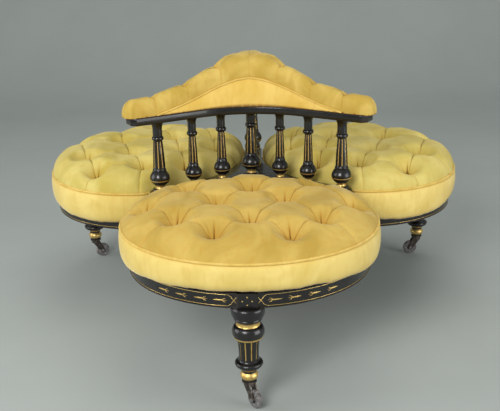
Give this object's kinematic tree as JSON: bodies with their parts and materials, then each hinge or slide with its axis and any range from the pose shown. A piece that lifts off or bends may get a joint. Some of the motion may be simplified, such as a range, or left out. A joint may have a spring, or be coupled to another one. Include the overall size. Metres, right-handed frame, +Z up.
{
  "type": "conversation sofa",
  "caption": "Trefoil conversation sofa: round buttoned velvet seats round a Y-shaped spindle back with a peaked crest, on turned legs with swivel casters.",
  "frame": {"origin": "on the floor, under the centre post, on the axis that the three seats stand round", "axes": "+Z up, the front seat towards -Y, one arm of the back towards +Y"},
  "size_m": [1.2514, 1.181, 0.7438],
  "materials": {
    "seat_velvet": "cotton velvet, old gold, soft pile",
    "crest_velvet": "cotton velvet, old gold, worn at the lower edge",
    "piping_velvet": "velvet-covered cord",
    "button_velvet": "velvet-covered button",
    "ebonised_wood": "ebonised and polished, with gilt lines in the turned work",
    "beech": "sawn and planed, unfinished",
    "jute_webbing": "woven jute",
    "dust_cloth": "black cotton",
    "spring_steel": "lacquered wire",
    "bolt_steel": "plain steel",
    "caster_iron": "dark, worn at the edges",
    "axle_steel": "riveted pin",
    "caster_wheel": "dark, with a scuffed tread"
  },
  "bodies": {
    "sofa": {"back_end_post": "ebonised_wood", "back_inner_spindle": "ebonised_wood", "back_outer_spindle": "ebonised_wood", "back_rail": "ebonised_wood", "centre_post": "ebonised_wood", "crest_buttons": "button_velvet", "crest_pad": "crest_velvet", "frame_bolts": "bolt_steel", "front_buttons": "button_velvet", "front_caster_plate": "caster_iron", "front_cushion": "seat_velvet", "front_dust_cover": "dust_cloth", "front_frame": "ebonised_wood", "front_leg": "ebonised_wood", "front_leg_brace": "beech", "front_piping": "piping_velvet", "front_springs": "spring_steel", "front_webbing": "jute_webbing", "hub_block": "beech", "left_buttons": "button_velvet", "left_caster_plate": "caster_iron", "left_cushion": "seat_velvet", "left_dust_cover": "dust_cloth", "left_end_post": "ebonised_wood", "left_frame": "ebonised_wood", "left_inner_spindle": "ebonised_wood", "left_leg": "ebonised_wood", "left_leg_brace": "beech", "left_outer_spindle": "ebonised_wood", "left_piping": "piping_velvet", "left_springs": "spring_steel", "left_webbing": "jute_webbing", "platform_board": "ebonised_wood", "platform_core": "ebonised_wood", "right_buttons": "button_velvet", "right_caster_plate": "caster_iron", "right_cushion": "seat_velvet", "right_dust_cover": "dust_cloth", "right_end_post": "ebonised_wood", "right_frame": "ebonised_wood", "right_inner_spindle": "ebonised_wood", "right_leg": "ebonised_wood", "right_leg_brace": "beech", "right_outer_spindle": "ebonised_wood", "right_piping": "piping_velvet", "right_springs": "spring_steel", "right_webbing": "jute_webbing"},
    "fork_front": {"front_caster_fork": "caster_iron", "front_caster_axle": "axle_steel"},
    "wheel_front": {"front_caster_wheel": "caster_wheel"},
    "fork_right": {"right_caster_fork": "caster_iron", "right_caster_axle": "axle_steel"},
    "wheel_right": {"right_caster_wheel": "caster_wheel"},
    "fork_left": {"left_caster_fork": "caster_iron", "left_caster_axle": "axle_steel"},
    "wheel_left": {"left_caster_wheel": "caster_wheel"}
  },
  "joints": [
    {"name": "front_swivel", "type": "hinge", "parent": "sofa", "child": "fork_front", "pos_m": [0, -0.6321, 0.05], "axis": [0, 0, 1], "continuous": true},
    {"name": "front_roll", "type": "hinge", "parent": "fork_front", "child": "wheel_front", "pos_m": [0.0135, -0.64819, 0.023], "axis": [0.766, 0.6428, 0], "continuous": true},
    {"name": "right_swivel", "type": "hinge", "parent": "sofa", "child": "fork_right", "pos_m": [0.54742, 0.31605, 0.05], "axis": [0, 0, 1], "continuous": true},
    {"name": "right_roll", "type": "hinge", "parent": "fork_right", "child": "wheel_right", "pos_m": [0.5265, 0.31422, 0.023], "axis": [0.0872, -0.9962, 0], "continuous": true},
    {"name": "left_swivel", "type": "hinge", "parent": "sofa", "child": "fork_left", "pos_m": [-0.54742, 0.31605, 0.05], "axis": [0, 0, 1], "continuous": true},
    {"name": "left_roll", "type": "hinge", "parent": "fork_left", "child": "wheel_left", "pos_m": [-0.52768, 0.32323, 0.023], "axis": [-0.342, 0.9397, 0], "continuous": true}
  ]
}
